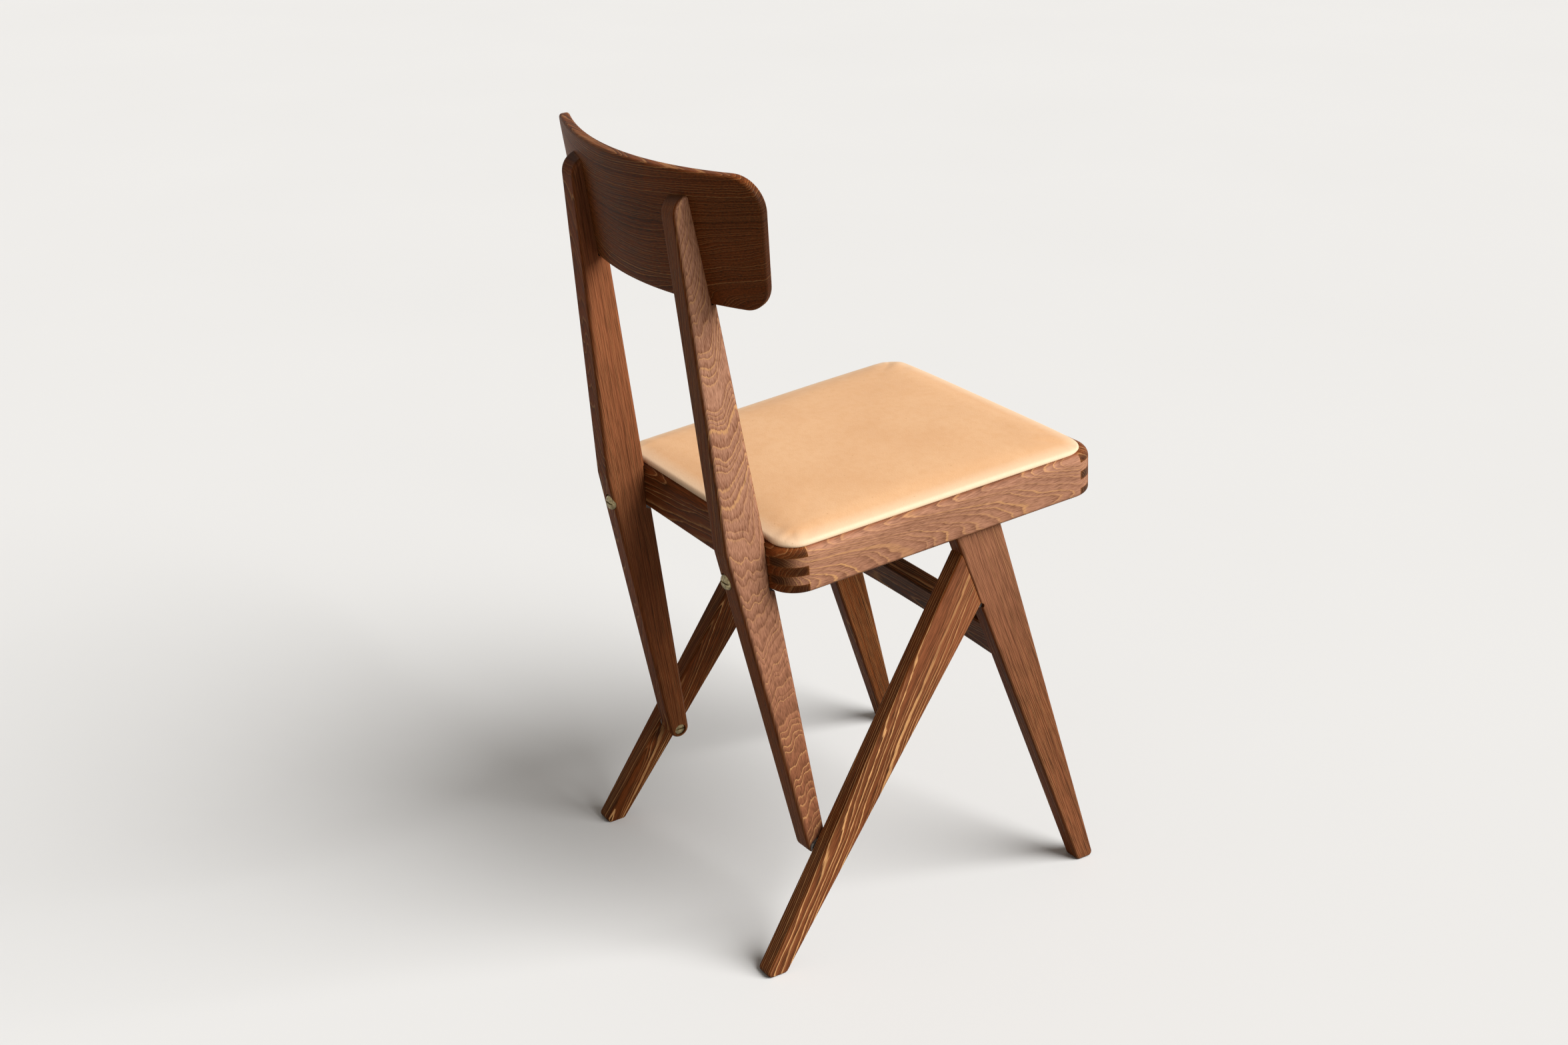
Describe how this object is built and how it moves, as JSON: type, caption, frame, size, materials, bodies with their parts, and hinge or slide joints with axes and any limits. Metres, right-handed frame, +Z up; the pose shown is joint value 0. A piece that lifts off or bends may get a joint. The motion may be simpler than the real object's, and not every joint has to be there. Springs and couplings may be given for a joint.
{
  "type": "folding chair",
  "caption": "Folding wooden side chair with splayed compass legs, a finger-jointed seat frame, a crowned leather pad and a bent backrest on two tapered uprights.",
  "frame": {"origin": "on the floor under the middle of the chair's box", "axes": "+X to the chair's left, -Y to the front, +Z up"},
  "size_m": [0.375, 0.4513, 0.7903],
  "materials": {
    "stained_beech": "walnut-brown stain under a satin varnish",
    "plain_beech": "raw beech",
    "plywood": "raw plywood",
    "tan_leather": "natural tan leather",
    "dark_steel": "blackened steel",
    "aged_brass": "aged brass"
  },
  "bodies": {
    "rear_legs": {"rear_leg_left": "stained_beech", "rear_leg_right": "stained_beech", "pivot_screws": "aged_brass", "pivot_inserts": "aged_brass", "pivot_washers": "dark_steel", "compass_leaves_rear": "dark_steel", "compass_screws_rear": "dark_steel", "compass_pins": "dark_steel"},
    "front_legs": {"front_leg_left": "stained_beech", "front_leg_right": "stained_beech", "front_stretcher": "stained_beech", "stretcher_dowels": "plain_beech", "compass_leaves_front": "dark_steel", "compass_screws_front": "dark_steel", "seat_pegs": "dark_steel"},
    "back": {"upright_left": "stained_beech", "upright_right": "stained_beech", "backrest": "stained_beech", "backrest_dowels": "plain_beech", "eye_bolts": "aged_brass"},
    "links": {"swing_links": "dark_steel", "link_pins": "dark_steel"},
    "seat": {"seat_rail_front": "stained_beech", "seat_rail_rear": "stained_beech", "seat_rail_left": "stained_beech", "seat_rail_right": "stained_beech", "corner_block_front_left": "plain_beech", "corner_block_front_right": "plain_beech", "corner_block_rear_left": "plain_beech", "corner_block_rear_right": "plain_beech", "seat_board": "plywood", "seat_pad": "tan_leather", "pad_screws": "dark_steel", "seat_hinge_pins": "dark_steel"}
  },
  "joints": [
    {"name": "back_fold", "type": "hinge", "parent": "rear_legs", "child": "back", "pos_m": [0, 0.10557, 0.112], "axis": [1, 0, 0], "range_deg": [0, 26]},
    {"name": "link_swing", "type": "hinge", "parent": "back", "child": "links", "pos_m": [0, 0.13637, 0.40589], "axis": [1, 0, 0], "range_deg": [0, 36]},
    {"name": "seat_fold", "type": "hinge", "parent": "links", "child": "seat", "pos_m": [0, 0.13821, 0.42982], "axis": [-1, 0, 0], "range_deg": [0, 122]},
    {"name": "front_leg_fold", "type": "hinge", "parent": "rear_legs", "child": "front_legs", "pos_m": [0, -0.07757, 0.33], "axis": [1, 0, 0], "range_deg": [0, 54]}
  ],
  "couplings": [
    {"joint": "link_swing", "follows": "seat_fold", "ratio": 0.295},
    {"joint": "back_fold", "follows": "seat_fold", "ratio": 0.2131},
    {"joint": "front_leg_fold", "follows": "seat_fold", "ratio": 0.4426}
  ]
}
